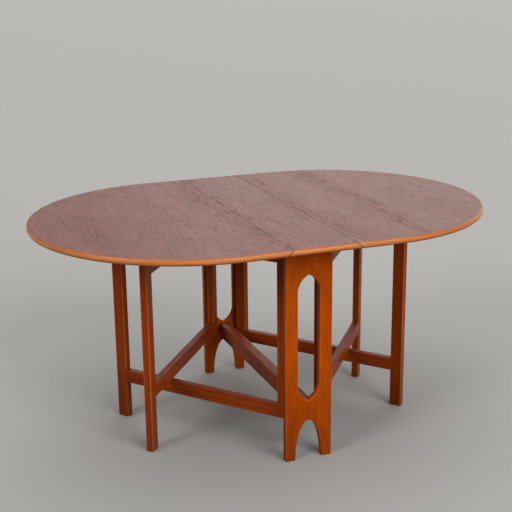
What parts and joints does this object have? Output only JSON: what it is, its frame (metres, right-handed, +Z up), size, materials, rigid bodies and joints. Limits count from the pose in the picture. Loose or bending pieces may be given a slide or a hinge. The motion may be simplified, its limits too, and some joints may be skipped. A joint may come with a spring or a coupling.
{
  "type": "drop leaf table",
  "caption": "Round-ended drop leaf dining table: a narrow fixed centre on slab end panels with pointed cut-outs, and crossing gate legs that swing out under the leaves.",
  "frame": {"origin": "on the floor under the middle of the table, at the bottom centre of the box around it", "axes": "+X along the length from the left leaf to the right leaf, +Y along the centre strip away from the viewer, +Z up"},
  "size_m": [1.5098, 1.032, 0.72],
  "materials": {
    "veneered_board": "satin oiled teak veneer",
    "top_edge_wood": "satin solid teak",
    "frame_wood": "satin solid teak",
    "dowel_wood": "plain beech",
    "brass_hinge": "dull brass",
    "steel_screw": "plain steel"
  },
  "bodies": {
    "frame": {"centre_board": "veneered_board", "centre_joint_edges": "top_edge_wood", "centre_lippings": "top_edge_wood", "near_end_panel": "frame_wood", "far_end_panel": "frame_wood", "stretcher": "frame_wood", "upper_rail": "frame_wood", "stretcher_dowels": "dowel_wood", "upper_rail_dowels": "dowel_wood", "top_dowels": "dowel_wood", "top_cleats": "frame_wood", "cleat_screws": "steel_screw", "gate_hinge_fixed_flaps": "brass_hinge", "gate_hinge_pins": "brass_hinge", "gate_hinge_fixed_screws": "steel_screw", "leaf_hinge_fixed_flaps": "brass_hinge", "leaf_hinge_pins": "brass_hinge", "leaf_hinge_fixed_screws": "steel_screw"},
    "left_leaf": {"left_leaf_board": "veneered_board", "left_leaf_joint_edge": "top_edge_wood", "left_leaf_lipping": "top_edge_wood", "left_leaf_hinge_flaps": "brass_hinge", "left_leaf_hinge_screws": "steel_screw", "left_gate_stops": "frame_wood", "left_gate_stop_screws": "steel_screw"},
    "right_leaf": {"right_leaf_board": "veneered_board", "right_leaf_joint_edge": "top_edge_wood", "right_leaf_lipping": "top_edge_wood", "right_leaf_hinge_flaps": "brass_hinge", "right_leaf_hinge_screws": "steel_screw", "right_gate_stops": "frame_wood", "right_gate_stop_screws": "steel_screw"},
    "near_left_gate": {"near_left_leg": "frame_wood", "near_left_stile": "frame_wood", "near_left_lower_rail": "frame_wood", "near_left_upper_rail": "frame_wood", "near_left_hinge_flaps": "brass_hinge", "near_left_hinge_screws": "steel_screw"},
    "far_left_gate": {"far_left_leg": "frame_wood", "far_left_stile": "frame_wood", "far_left_lower_rail": "frame_wood", "far_left_upper_rail": "frame_wood", "far_left_hinge_flaps": "brass_hinge", "far_left_hinge_screws": "steel_screw"},
    "near_right_gate": {"near_right_leg": "frame_wood", "near_right_stile": "frame_wood", "near_right_lower_rail": "frame_wood", "near_right_upper_rail": "frame_wood", "near_right_hinge_flaps": "brass_hinge", "near_right_hinge_screws": "steel_screw"},
    "far_right_gate": {"far_right_leg": "frame_wood", "far_right_stile": "frame_wood", "far_right_lower_rail": "frame_wood", "far_right_upper_rail": "frame_wood", "far_right_hinge_flaps": "brass_hinge", "far_right_hinge_screws": "steel_screw"}
  },
  "joints": [
    {"name": "left_leaf_lift", "type": "hinge", "parent": "frame", "child": "left_leaf", "pos_m": [-0.101, 0, 0.7], "axis": [0, 1, 0], "range_deg": [0, 2]},
    {"name": "right_leaf_lift", "type": "hinge", "parent": "frame", "child": "right_leaf", "pos_m": [0.101, 0, 0.7], "axis": [0, -1, 0], "range_deg": [0, 2]},
    {"name": "near_left_gate_fold", "type": "hinge", "parent": "frame", "child": "near_left_gate", "pos_m": [-0.053, -0.3701, 0.4], "axis": [0, 0, -1], "range_deg": [0, 35.7]},
    {"name": "far_right_gate_fold", "type": "hinge", "parent": "frame", "child": "far_right_gate", "pos_m": [0.053, 0.3701, 0.4], "axis": [0, 0, -1], "range_deg": [0, 35.7]},
    {"name": "far_left_gate_fold", "type": "hinge", "parent": "frame", "child": "far_left_gate", "pos_m": [-0.053, 0.3701, 0.4], "axis": [0, 0, 1], "range_deg": [0, 34.3]},
    {"name": "near_right_gate_fold", "type": "hinge", "parent": "frame", "child": "near_right_gate", "pos_m": [0.053, -0.3701, 0.4], "axis": [0, 0, 1], "range_deg": [0, 34.3]}
  ],
  "couplings": [
    {"joint": "far_left_gate_fold", "follows": "near_left_gate_fold", "ratio": 0.961},
    {"joint": "near_right_gate_fold", "follows": "far_right_gate_fold", "ratio": 0.961}
  ]
}
